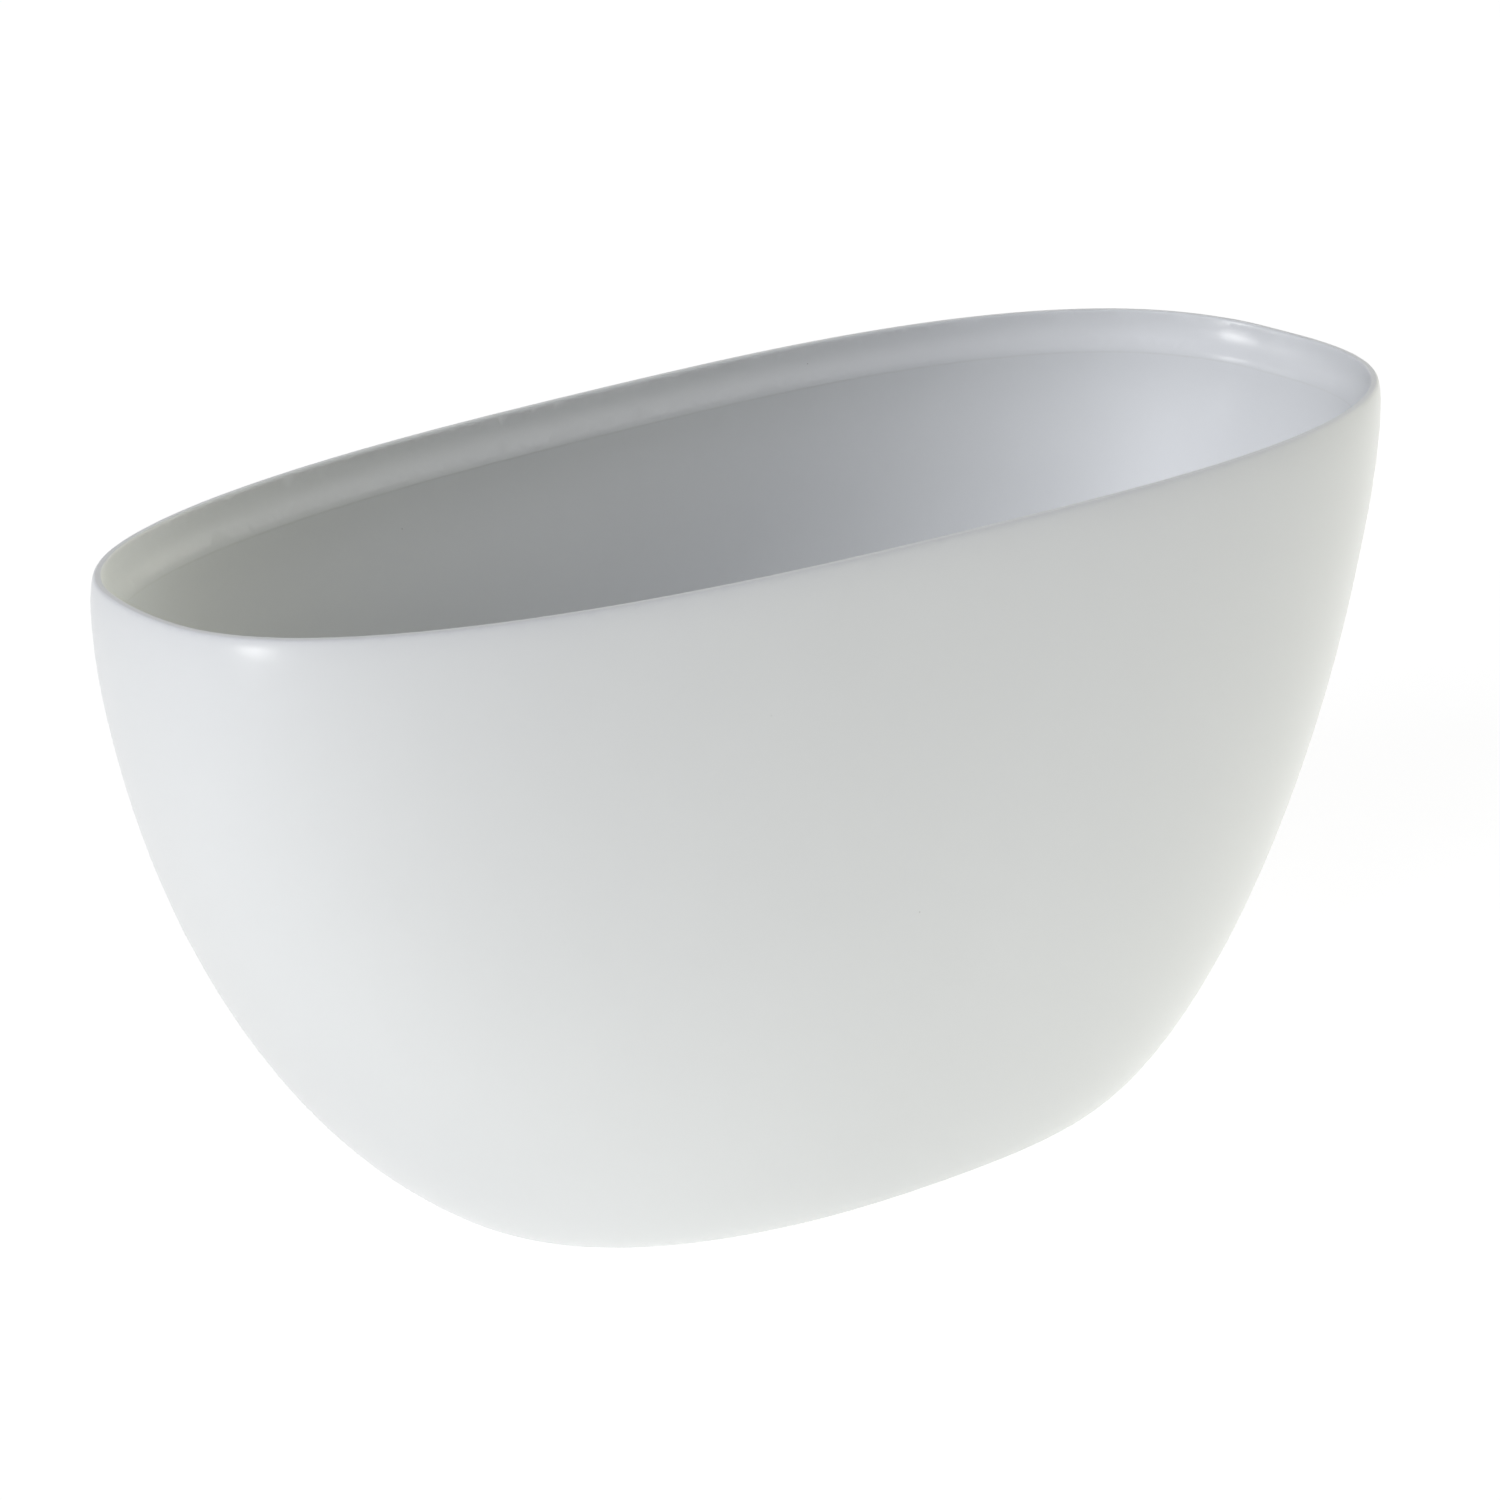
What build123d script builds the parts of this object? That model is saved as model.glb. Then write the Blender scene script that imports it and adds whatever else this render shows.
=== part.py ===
from build123d import *
import os
from math import cos, pi, radians, sin, sqrt

# Freestanding deep bathtub with an egg-shaped plan. A thin-rimmed outer shell carries a
# separate bath well inside it, on a leg set with four levelling feet. The click waste, the
# overflow behind the near long wall and the trap hang from the well.
# Millimetres. +X runs to the wide head end, +Z is up, and the origin is on the floor under
# the middle of the tub.

# Outer form
LENGTH = 1500.0
BEAM = 631.0
HEIGHT = 716.0
EGG = 0.106
RIM_SQUARENESS = 2.64
FOOT_SQUARENESS = 2.42
FOOTPRINT_LENGTH = 800.0
FOOTPRINT_BEAM = 506.0
END_CURVE = (1.77, 1.371)
SIDE_CURVE = (4.5, 1.629)
SKIRT_GAP = 5.0
SHELL_WALL = 6.0
SHELL_LIFT = 4.0

# Rim, hollowed inner band, the nose at its foot and the seam under that
RIM_EDGE = 6.0
RIM_ROUND = 2.5
RIM_ROLL_HEIGHT = 37.0
RIM_ROLL_INSET = 6.0
BAND_DROP = 46.0
BAND_COVE = 7.0
BAND_COVE_CURVE = 2.5
NOSE_RADIUS = 21.0
NOSE_TILT = 28.0
SEAM_SEAL = 2.0
SEAM_CLEARANCE = 0.4
FLANGE_DEPTH = 12.0

# Bath well
WELL_FLOOR = 150.0
WELL_WALL = 6.0
WELL_FLOOR_LENGTH = 840.0
WELL_FLOOR_BEAM = 330.0
WELL_FLOOR_SQUARENESS = 2.3
WELL_END_CURVE = (1.5, 1.35)
WELL_SIDE_CURVE = (1.15, 1.25)

# Leg set
BOARD_THICKNESS = 16.0
BOARD_MARGIN = 26.0
BOARD_WASTE_HOLE = 120.0
LEG_SPACING = 480.0
FOOT_TRACK = 290.0
CHANNEL_WIDTH = 40.0
CHANNEL_DEPTH = 25.0
CHANNEL_GAUGE = 3.0
CHANNEL_OVERHANG = 25.0
SCREW_SHANK = 5.0
SCREW_HEAD = 9.5
SCREW_HEAD_DEPTH = 3.0
SCREW_BITE = 12.0
SCREW_SPREAD = 150.0
STUD = 12.0
STUD_REACH = 8.0
STUD_HOLE = 14.0
STUD_HEX = 14.0
STUD_HEX_HEIGHT = 8.0
NUT_FLATS = 19.0
WELD_NUT_HEIGHT = 10.0
LOCK_NUT_HEIGHT = 7.0
THREAD_CLEARANCE = 0.05
PAD_DIAMETER = 48.0
PAD_HEIGHT = 16.0
PAD_TREAD = 4.0
PAD_NECK = 26.0

# Waste, click plug and trap
WASTE_HOLE = 52.0
WASTE_TAIL = 50.0
WASTE_BORE = 44.0
WASTE_TAIL_DROP = 32.0
WASTE_PLATE = 70.0
WASTE_PLATE_THICKNESS = 3.0
UPPER_SEAL = 1.5
LOWER_SEAL = 2.0
FIT_CLEARANCE = 0.1
SEAL_SETBACK = 1.0
SPOKES = 3
SPOKE_WIDTH = 4.0
HUB = 24.0
HUB_HEIGHT = 10.0
CUP_WALL = 5.0
CUP_FLANGE = 82.0
CUP_FLANGE_THICKNESS = 4.0
CUP_FLOOR = 4.0
CUP_SUMP = 26.0
CARTRIDGE = 16.0
CARTRIDGE_HEIGHT = 26.0
CARTRIDGE_COLLAR = 22.0
CARTRIDGE_COLLAR_HEIGHT = 2.0
STEM = 8.0
STEM_CLEARANCE = 0.05
PLUG_SEAL_HEIGHT = 2.5
PLUG_SEAL_WIDTH = 5.0
PLUG_CAP = 62.0
PLUG_CAP_EDGE = 3.0
PLUG_CAP_CROWN = 3.0
PIPE = 40.0
PIPE_WALL = 3.0
TRAP_BOWL = 100.0
TRAP_WALL = 3.0
TRAP_HEIGHT = 50.0
TRAP_GROUND_GAP = 10.0
TRAP_DIP = 16.0
COLLAR_WALL = 4.0
COLLAR_HEIGHT = 10.0
UNION_NUT = 64.0
UNION_NUT_HEIGHT = 16.0
UNION_LIP = 5.0
UNION_GRIPS = 12
UNION_GRIP = 10.0
UNION_GRIP_OFFSET = 2.0
WASHER = 3.0
OUTLET_REACH = 150.0
OUTLET_SPIGOT = 80.0
OUTLET_STOP = 46.0
OUTLET_STOP_WIDTH = 4.0
CLEAN_HOLE = 52.0
CLEAN_CAP = 66.0
CLEAN_CAP_HEIGHT = 4.0
CLEAN_GRIP = 8.0
CLEAN_SEAL = 62.0
CLEAN_SEAL_HEIGHT = 1.0

# Overflow and its hose
OVERFLOW_DROP = 216.0
OVERFLOW_HOLE = 50.0
OVERFLOW_CUP = 62.0
OVERFLOW_CUP_WALL = 3.0
OVERFLOW_CUP_DEPTH = 22.0
OVERFLOW_SEAL = 3.5
OVERFLOW_BOSS = 12.0
COVER_DIAMETER = 74.0
COVER_DEPTH = 10.0
COVER_WALL = 2.5
COVER_SLOTS = 5
COVER_SLOT_WIDTH = 9.0
COVER_SLOT_PITCH = 22.0
COVER_SCREW = 5.0
COVER_SCREW_HEAD = 10.0
COVER_SCREW_HEAD_HEIGHT = 2.5
HOSE = 24.0
HOSE_WALL = 2.0
SPIGOT_WALL = 2.0
SPIGOT_LENGTH = 40.0
HOSE_BEND = 90.0
CLIP_WIDTH = 9.0
CLIP_GAUGE = 2.0

# Edges and roundings shared by small pieces
EDGE_BREAK = 1.0
ROUND_SHARE = 0.6

# Sampling of the lofted forms
PLAN_POINTS = 32
LOFT_LEVELS = 11
LEVEL_BIAS = 2.2
ROLL_LEVELS = (0.4, 0.7, 0.9, 0.97, 1.0)
COVE_LEVELS = (0.15, 0.35, 0.6, 0.85, 1.0)
ROUND_STEPS = 5
OVERCUT = 1.0

# Levels that the sizes above give
ROLL_START = HEIGHT - RIM_ROLL_HEIGHT
BAND_FOOT = HEIGHT - BAND_DROP
FLANGE_TOP = BAND_FOOT - SEAM_SEAL
FLANGE_UNDER = FLANGE_TOP - FLANGE_DEPTH
MOUTH_INSET = RIM_ROLL_INSET + RIM_EDGE
WELL_INSET = MOUTH_INSET + BAND_COVE + NOSE_RADIUS * (1 - cos(radians(NOSE_TILT)))
NOSE_TOP = BAND_FOOT + NOSE_RADIUS * sin(radians(NOSE_TILT))
FLOOR_UNDER = WELL_FLOOR - WELL_WALL
BOARD_UNDER = FLOOR_UNDER - BOARD_THICKNESS
WEB_UNDER = BOARD_UNDER - CHANNEL_GAUGE
CUP_TOP = FLOOR_UNDER - LOWER_SEAL
PLATE_UNDER = WELL_FLOOR + UPPER_SEAL
PLATE_TOP = PLATE_UNDER + WASTE_PLATE_THICKNESS
TAIL_END = CUP_TOP - WASTE_TAIL_DROP
CUP_BOTTOM = TAIL_END - CUP_SUMP
TRAP_TOP = TRAP_GROUND_GAP + TRAP_HEIGHT
PORT_HEIGHT = CUP_BOTTOM + CUP_SUMP / 2
OVERFLOW_HEIGHT = HEIGHT - OVERFLOW_DROP
OUTLET_HEIGHT = TRAP_GROUND_GAP + TRAP_HEIGHT / 2
CORNERS = {
    "head_left": (LEG_SPACING / 2, FOOT_TRACK / 2),
    "head_right": (LEG_SPACING / 2, -FOOT_TRACK / 2),
    "foot_left": (-LEG_SPACING / 2, FOOT_TRACK / 2),
    "foot_right": (-LEG_SPACING / 2, -FOOT_TRACK / 2),
}


# Plan and profile curves
def grow(share, curve):
    """Rises from 0 to 1: level at the start and upright at the end."""
    start, end = curve
    return (1 - (1 - share) ** start) ** (1 / end)


def egg_wire(half_length, half_width, squareness, z):
    """Closed egg at height z: a squared oval, wider towards +X."""
    points = []
    for k in range(PLAN_POINTS):
        angle = 2 * pi * (k + 0.5) / PLAN_POINTS
        reach = (abs(cos(angle)) ** squareness + abs(sin(angle)) ** squareness) ** (-1 / squareness)
        along, across = reach * cos(angle), reach * sin(angle)
        points.append(Vector(half_length * along, half_width * across * (1 + EGG * along), z))
    return Wire([Edge.make_spline(points, periodic=True)])


def egg_slab(half_length, half_width, squareness, bottom, top):
    return extrude(Face(egg_wire(half_length, half_width, squareness, bottom)), top - bottom, dir=(0, 0, 1))


def egg_sections(size_at, bottom, top):
    """Egg sections for a loft, closer together near the bottom, where the wall turns most."""
    shares = [(k / (LOFT_LEVELS - 1)) ** LEVEL_BIAS for k in range(LOFT_LEVELS)]
    heights = [bottom + (top - bottom) * share for share in shares]
    return [egg_wire(*size_at(z), z) for z in heights]


def skirt_size(z, inset=0.0):
    """Half length, half width and squareness of the outer wall at height z."""
    share = min(max(z / ROLL_START, 0), 1)
    foot_length, foot_width = FOOTPRINT_LENGTH / 2, FOOTPRINT_BEAM / 2
    half_length = foot_length + (LENGTH / 2 - foot_length) * grow(share, END_CURVE)
    half_width = foot_width + (BEAM / 2 - foot_width) * grow(share, SIDE_CURVE)
    squareness = FOOT_SQUARENESS + (RIM_SQUARENESS - FOOT_SQUARENESS) * share
    return half_length - inset, half_width - inset, squareness


def skirt_inside(z):
    return skirt_size(z - SHELL_LIFT, SHELL_WALL)


def top_size(inset):
    return skirt_size(ROLL_START, inset)


def flange_size():
    """The well's flange, just free of the outer shell's inner face."""
    return skirt_size(FLANGE_UNDER - SHELL_LIFT, SHELL_WALL + SEAM_CLEARANCE)


def well_size(z, thickness=0.0):
    """Half length, half width and squareness of the well at height z; thickness gives its back."""
    floor = WELL_FLOOR - thickness
    share = min(max((z - floor) / (FLANGE_TOP - floor), 0), 1)
    floor_length = (WELL_FLOOR_LENGTH + thickness) / 2
    floor_width = (WELL_FLOOR_BEAM + thickness) / 2
    top_length, top_width, _ = top_size(WELL_INSET - thickness)
    half_length = floor_length + (top_length - floor_length) * grow(share, WELL_END_CURVE)
    half_width = floor_width + (top_width - floor_width) * grow(share, WELL_SIDE_CURVE)
    squareness = WELL_FLOOR_SQUARENESS + (RIM_SQUARENESS - WELL_FLOOR_SQUARENESS) * share
    return half_length, half_width, squareness


def well_back(z):
    return well_size(z, WELL_WALL)


# Small shapes, and how they sit on their origin
STANDING = (Align.CENTER, Align.CENTER, Align.MIN)
HANGING = (Align.CENTER, Align.CENTER, Align.MAX)
LYING = (Align.MIN, Align.CENTER, Align.MIN)


def rod(diameter, bottom, top, x=0.0, y=0.0):
    return Pos(x, y, bottom) * Cylinder(diameter / 2, top - bottom, align=STANDING)


def tube(outside, inside, bottom, top, x=0.0, y=0.0):
    over = OVERCUT
    return rod(outside, bottom, top, x, y) - rod(inside, bottom - over, top + over, x, y)


def hexagon(flats, bottom, top, x=0.0, y=0.0):
    outline = RegularPolygon(flats / 2, 6, major_radius=False)
    return Pos(x, y, bottom) * extrude(outline, top - bottom)


# Shells
def nose_sections():
    """Sections of the mouth over the nose: upright at the seam, then leaning back."""
    sections = []
    for k in range(ROUND_STEPS + 1):
        angle = radians(NOSE_TILT) * k / ROUND_STEPS
        inset = WELL_INSET - NOSE_RADIUS * (1 - cos(angle))
        sections.append(egg_wire(*top_size(inset), BAND_FOOT + NOSE_RADIUS * sin(angle)))
    return sections


def cove_sections():
    """Sections of the mouth up the hollow band, from the nose to the rim's inner edge."""
    sections = []
    for share in COVE_LEVELS:
        inset = MOUTH_INSET + BAND_COVE * (1 - share) ** BAND_COVE_CURVE
        sections.append(egg_wire(*top_size(inset), NOSE_TOP + (HEIGHT - RIM_ROUND - NOSE_TOP) * share))
    return sections


def edge_sections():
    """Sections of the mouth over the rim's rounded inner edge, to just above the rim."""
    top, radius = HEIGHT + SEAM_CLEARANCE, RIM_ROUND + SEAM_CLEARANCE
    sections = []
    for k in range(1, ROUND_STEPS + 1):
        angle = pi / 2 * k / ROUND_STEPS
        rise = top - radius * (1 - sin(angle))
        sections.append(egg_wire(*top_size(MOUTH_INSET - radius * (1 - cos(angle))), rise))
    return sections


def make_outer_shell():
    roll = []
    for share in ROLL_LEVELS:
        inset = RIM_ROLL_INSET * (1 - sqrt(1 - share**2))
        roll.append(egg_wire(*top_size(inset), ROLL_START + RIM_ROLL_HEIGHT * share))
    skin = Solid.make_loft(egg_sections(skirt_size, SKIRT_GAP, ROLL_START) + roll)
    hollow = Solid.make_loft(egg_sections(skirt_inside, SKIRT_GAP - OVERCUT, BAND_FOOT))
    mouth = Solid.make_loft(nose_sections() + cove_sections() + edge_sections())
    return skin - hollow - mouth


def make_well_room():
    """The space inside the well, to just above its flange."""
    walls = egg_sections(well_size, WELL_FLOOR, FLANGE_TOP)
    return Solid.make_loft([*walls, egg_wire(*well_size(FLANGE_TOP), FLANGE_TOP + OVERCUT)])


def make_inner_basin(room):
    back = Solid.make_loft(egg_sections(well_back, FLOOR_UNDER, FLANGE_TOP - FLANGE_DEPTH / 2))
    flange = egg_slab(*flange_size(), FLANGE_UNDER, FLANGE_TOP)
    basin = back + flange - room
    basin -= rod(WASTE_HOLE, FLOOR_UNDER - OVERCUT, WELL_FLOOR + OVERCUT)
    drill = Cylinder(OVERFLOW_HOLE / 2, 4 * WELL_WALL)
    return basin - overflow_plane() * drill


def make_rim_seal():
    outside = egg_slab(*flange_size(), FLANGE_TOP, BAND_FOOT)
    inside = egg_slab(*top_size(WELL_INSET), FLANGE_TOP - OVERCUT, BAND_FOOT + OVERCUT)
    return outside - inside


# Leg set
def make_base_board():
    half_length = WELL_FLOOR_LENGTH / 2 - BOARD_MARGIN
    half_width = WELL_FLOOR_BEAM / 2 - BOARD_MARGIN
    board = egg_slab(half_length, half_width, WELL_FLOOR_SQUARENESS, BOARD_UNDER, FLOOR_UNDER)
    board -= rod(BOARD_WASTE_HOLE, BOARD_UNDER - OVERCUT, FLOOR_UNDER + OVERCUT)
    for x, y in screw_places():
        board -= rod(SCREW_SHANK, BOARD_UNDER - OVERCUT, BOARD_UNDER + SCREW_BITE, x, y)
    for x, y in CORNERS.values():
        board -= rod(STUD_HOLE, BOARD_UNDER - OVERCUT, FLOOR_UNDER + OVERCUT, x, y)
    return board


def screw_places():
    x_places = (-LEG_SPACING / 2, LEG_SPACING / 2)
    y_places = (-SCREW_SPREAD / 2, -SCREW_SPREAD / 6, SCREW_SPREAD / 6, SCREW_SPREAD / 2)
    return [(x, y) for x in x_places for y in y_places]


def make_leg_channel(x):
    length = FOOT_TRACK + 2 * CHANNEL_OVERHANG
    channel = Box(CHANNEL_WIDTH, length, CHANNEL_DEPTH, align=HANGING)
    room = Box(CHANNEL_WIDTH - 2 * CHANNEL_GAUGE, length + 2 * OVERCUT, CHANNEL_DEPTH, align=HANGING)
    channel = channel - Pos(0, 0, -CHANNEL_GAUGE) * room
    channel = fillet(channel.edges().filter_by(Axis.Y).group_by(Axis.Z)[-1], CHANNEL_GAUGE / 2)
    channel = Pos(x, 0, BOARD_UNDER) * channel
    over, under = BOARD_UNDER + OVERCUT, WEB_UNDER - OVERCUT
    for y in (-FOOT_TRACK / 2, FOOT_TRACK / 2):
        channel -= rod(STUD_HOLE, under, over, x, y)
    for place_x, y in screw_places():
        if place_x == x:
            channel -= rod(SCREW_SHANK + 2 * FIT_CLEARANCE, under, over, x, y)
    return channel


def make_beam_screws():
    screws = []
    for x, y in screw_places():
        shank = rod(SCREW_SHANK, WEB_UNDER, BOARD_UNDER + SCREW_BITE, x, y)
        head = rod(SCREW_HEAD, WEB_UNDER - SCREW_HEAD_DEPTH, WEB_UNDER, x, y)
        head = fillet(head.edges().group_by(Axis.Z)[0], SCREW_HEAD_DEPTH / 2)
        screws.append(shank + head)
    return Compound(children=screws)


def make_nuts(top, height):
    bore = STUD + 2 * THREAD_CLEARANCE
    nuts = []
    for x, y in CORNERS.values():
        nut = hexagon(NUT_FLATS, top - height, top, x, y)
        nuts.append(nut - rod(bore, top - height - OVERCUT, top + OVERCUT, x, y))
    return Compound(children=nuts)


def make_leveller_stud(x, y):
    stud = rod(STUD, PAD_TREAD, WEB_UNDER + STUD_REACH, x, y)
    stud = chamfer(stud.edges().group_by(Axis.Z)[-1], STUD / 10)
    return stud + hexagon(STUD_HEX, PAD_HEIGHT, PAD_HEIGHT + STUD_HEX_HEIGHT, x, y)


def make_leveller_pad(x, y):
    with BuildPart() as pad:
        with BuildSketch(Plane.XZ):
            with BuildLine():
                tread, neck = PAD_DIAMETER / 2, PAD_NECK / 2
                sole = [(0, 0), (tread - EDGE_BREAK, 0), (tread, EDGE_BREAK), (tread, PAD_TREAD)]
                Polyline(*sole, (neck, PAD_HEIGHT), (0, PAD_HEIGHT), (0, 0))
            make_face()
        revolve(axis=Axis.Z)
    return Pos(x, y, 0) * pad.part - rod(STUD, PAD_TREAD, PAD_HEIGHT + OVERCUT, x, y)


# Waste and click plug
def make_waste_flange():
    plate = rod(WASTE_PLATE, PLATE_UNDER, PLATE_TOP)
    plate = fillet(plate.edges().group_by(Axis.Z)[-1], ROUND_SHARE * WASTE_PLATE_THICKNESS)
    body = plate + rod(WASTE_TAIL, TAIL_END, PLATE_UNDER)
    body -= rod(WASTE_BORE, TAIL_END - OVERCUT, PLATE_TOP + OVERCUT)
    hub = rod(HUB, TAIL_END, TAIL_END + HUB_HEIGHT)
    for k in range(SPOKES):
        spoke = Box(WASTE_BORE / 2 + OVERCUT, SPOKE_WIDTH, HUB_HEIGHT, align=LYING)
        hub += Pos(0, 0, TAIL_END) * Rot(0, 0, 360 / SPOKES * k) * spoke
    bore = CARTRIDGE + 2 * FIT_CLEARANCE
    return body + hub - rod(bore, TAIL_END - OVERCUT, TAIL_END + HUB_HEIGHT + OVERCUT)


def make_waste_body():
    inside = WASTE_TAIL + 2 * FIT_CLEARANCE
    outside = inside + 2 * CUP_WALL
    cup = rod(CUP_FLANGE, CUP_TOP - CUP_FLANGE_THICKNESS, CUP_TOP) + rod(outside, CUP_BOTTOM, CUP_TOP)
    cup += rod(PIPE, TRAP_GROUND_GAP + TRAP_DIP, CUP_BOTTOM)
    port_length = outside / 2 + SPIGOT_LENGTH
    port = Pos(0, 0, PORT_HEIGHT) * Rot(90, 0, 0)
    cup += port * Cylinder(spigot_diameter() / 2, port_length, align=STANDING)
    cup -= port * Cylinder(spigot_diameter() / 2 - SPIGOT_WALL, port_length + OVERCUT, align=STANDING)
    cup -= rod(inside, CUP_BOTTOM + CUP_FLOOR, CUP_TOP + OVERCUT)
    return cup - rod(PIPE - 2 * PIPE_WALL, TRAP_GROUND_GAP, CUP_BOTTOM + CUP_FLOOR + OVERCUT)


def make_waste_seal_upper():
    return tube(WASTE_PLATE - 2 * SEAL_SETBACK, WASTE_TAIL + 2 * FIT_CLEARANCE, WELL_FLOOR, PLATE_UNDER)


def make_waste_seal_lower():
    return tube(CUP_FLANGE - 2 * SEAL_SETBACK, WASTE_TAIL + 2 * FIT_CLEARANCE, CUP_TOP, FLOOR_UNDER)


def make_plug_cartridge():
    top = TAIL_END + HUB_HEIGHT
    sleeve = rod(CARTRIDGE, TAIL_END, TAIL_END + CARTRIDGE_HEIGHT)
    sleeve += rod(CARTRIDGE_COLLAR, top, top + CARTRIDGE_COLLAR_HEIGHT)
    bore = STEM + 2 * STEM_CLEARANCE
    return sleeve - rod(bore, TAIL_END + CARTRIDGE_COLLAR_HEIGHT, TAIL_END + CARTRIDGE_HEIGHT + OVERCUT)


def make_plug_stem():
    bottom = TAIL_END + 2 * CARTRIDGE_COLLAR_HEIGHT
    return rod(STEM, bottom, PLATE_TOP + PLUG_SEAL_HEIGHT)


def make_plug_seal():
    outside = WASTE_BORE + 2 * PLUG_SEAL_WIDTH
    return tube(outside, WASTE_BORE, PLATE_TOP, PLATE_TOP + PLUG_SEAL_HEIGHT)


def make_plug_cap():
    under = PLATE_TOP + PLUG_SEAL_HEIGHT
    reach = PLUG_CAP / 2
    with BuildPart() as cap:
        with BuildSketch(Plane.XZ):
            with BuildLine():
                bevel = [(reach - EDGE_BREAK, under), (reach, under + EDGE_BREAK)]
                edge = Polyline((0, under), *bevel, (reach, under + PLUG_CAP_EDGE))
                crown = (0, under + PLUG_CAP_EDGE + PLUG_CAP_CROWN)
                TangentArc(crown, edge @ 1, tangent=(1, 0))
                Line(crown, edge @ 0)
            make_face()
        revolve(axis=Axis.Z)
    return cap.part


# Trap
def make_trap_body():
    collar = PIPE + 2 * FIT_CLEARANCE
    bowl = rod(TRAP_BOWL, TRAP_GROUND_GAP, TRAP_TOP)
    bowl = fillet(bowl.edges().filter_by(GeomType.CIRCLE), 2 * TRAP_WALL)
    bowl += rod(collar + 2 * COLLAR_WALL, TRAP_TOP - TRAP_WALL, TRAP_TOP + COLLAR_HEIGHT)
    outlet = Pos(0, 0, OUTLET_HEIGHT) * Rot(0, 90, 0)
    bowl += outlet * Cylinder(PIPE / 2, OUTLET_REACH, align=STANDING)
    stop_from = OUTLET_REACH - OUTLET_SPIGOT - OUTLET_STOP_WIDTH
    bowl += outlet * Pos(0, 0, stop_from) * Cylinder(OUTLET_STOP / 2, OUTLET_STOP_WIDTH, align=STANDING)
    bowl -= outlet * Cylinder(PIPE / 2 - PIPE_WALL, OUTLET_REACH + OVERCUT, align=STANDING)
    bowl -= rod(TRAP_BOWL - 2 * TRAP_WALL, TRAP_GROUND_GAP + TRAP_WALL, TRAP_TOP - TRAP_WALL)
    bowl -= rod(collar, TRAP_TOP - 2 * TRAP_WALL, TRAP_TOP + COLLAR_HEIGHT + OVERCUT)
    return bowl - rod(CLEAN_HOLE, TRAP_GROUND_GAP - OVERCUT, TRAP_GROUND_GAP + TRAP_WALL + OVERCUT)


def make_trap_washer():
    collar_top = TRAP_TOP + COLLAR_HEIGHT
    outside = PIPE + 2 * COLLAR_WALL
    return tube(outside, PIPE + 2 * FIT_CLEARANCE, collar_top, collar_top + WASHER)


def make_trap_union_nut():
    shoulder = TRAP_TOP + COLLAR_HEIGHT + WASHER
    bottom = shoulder + UNION_LIP - UNION_NUT_HEIGHT
    nut = rod(UNION_NUT, bottom, shoulder + UNION_LIP)
    reach = UNION_NUT / 2 + UNION_GRIP_OFFSET
    for k in range(UNION_GRIPS):
        angle = 2 * pi * k / UNION_GRIPS
        x, y = reach * cos(angle), reach * sin(angle)
        nut -= rod(UNION_GRIP, bottom - OVERCUT, shoulder + UNION_LIP + OVERCUT, x, y)
    collar = PIPE + 2 * FIT_CLEARANCE + 2 * COLLAR_WALL
    nut -= rod(collar + 2 * FIT_CLEARANCE, bottom - OVERCUT, shoulder)
    return nut - rod(PIPE + 4 * FIT_CLEARANCE, bottom, shoulder + UNION_LIP + OVERCUT)


def make_trap_cap_seal():
    return tube(CLEAN_SEAL, CLEAN_HOLE, TRAP_GROUND_GAP - CLEAN_SEAL_HEIGHT, TRAP_GROUND_GAP)


def make_trap_cap():
    top = TRAP_GROUND_GAP - CLEAN_SEAL_HEIGHT
    cap = rod(CLEAN_CAP, top - CLEAN_CAP_HEIGHT, top)
    cap = fillet(cap.edges().group_by(Axis.Z)[0], CLEAN_CAP_HEIGHT / 3)
    cap += rod(CLEAN_HOLE - 4 * FIT_CLEARANCE, top, TRAP_GROUND_GAP + TRAP_WALL)
    slot = Box(CLEAN_CAP / 2, CLEAN_GRIP, CLEAN_CAP_HEIGHT, align=HANGING)
    return cap - Pos(0, 0, top - CLEAN_CAP_HEIGHT / 2) * slot


# Overflow
def overflow_plane():
    """Plane on the near wall of the well, its Z into the well and its Y up the wall."""
    step = 1.0
    _, below, _ = well_size(OVERFLOW_HEIGHT - step)
    _, here, _ = well_size(OVERFLOW_HEIGHT)
    _, above, _ = well_size(OVERFLOW_HEIGHT + step)
    lean = (above - below) / (2 * step)
    return Plane(origin=(0, -here, OVERFLOW_HEIGHT), x_dir=(-1, 0, 0), z_dir=(0, 1, lean))


def spigot_diameter():
    return HOSE - 2 * HOSE_WALL - 2 * FIT_CLEARANCE


def cup_front():
    """Depth of the overflow cup's front face behind the wall's inner face."""
    return -WELL_WALL - OVERFLOW_SEAL


def hose_depth():
    return cup_front() - OVERFLOW_CUP_DEPTH / 2


def make_overflow_body():
    front, back = cup_front(), cup_front() - OVERFLOW_CUP_DEPTH
    room = OVERFLOW_CUP - 2 * OVERFLOW_CUP_WALL
    cup = rod(OVERFLOW_CUP, back, front)
    cup = fillet(cup.edges().group_by(Axis.Z)[0], OVERFLOW_CUP_WALL)
    outlet = Pos(0, 0, hose_depth()) * Rot(90, 0, 0)
    reach = OVERFLOW_CUP / 2 + SPIGOT_LENGTH
    cup += outlet * Cylinder(spigot_diameter() / 2, reach, align=STANDING)
    cup -= outlet * Cylinder(spigot_diameter() / 2 - SPIGOT_WALL, reach + OVERCUT, align=STANDING)
    cup -= rod(room, back + OVERFLOW_CUP_WALL, front + OVERCUT)
    cup += rod(OVERFLOW_BOSS, back, front)
    return overflow_plane() * (cup - rod(COVER_SCREW, back + OVERFLOW_CUP_WALL, front + OVERCUT))


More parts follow.
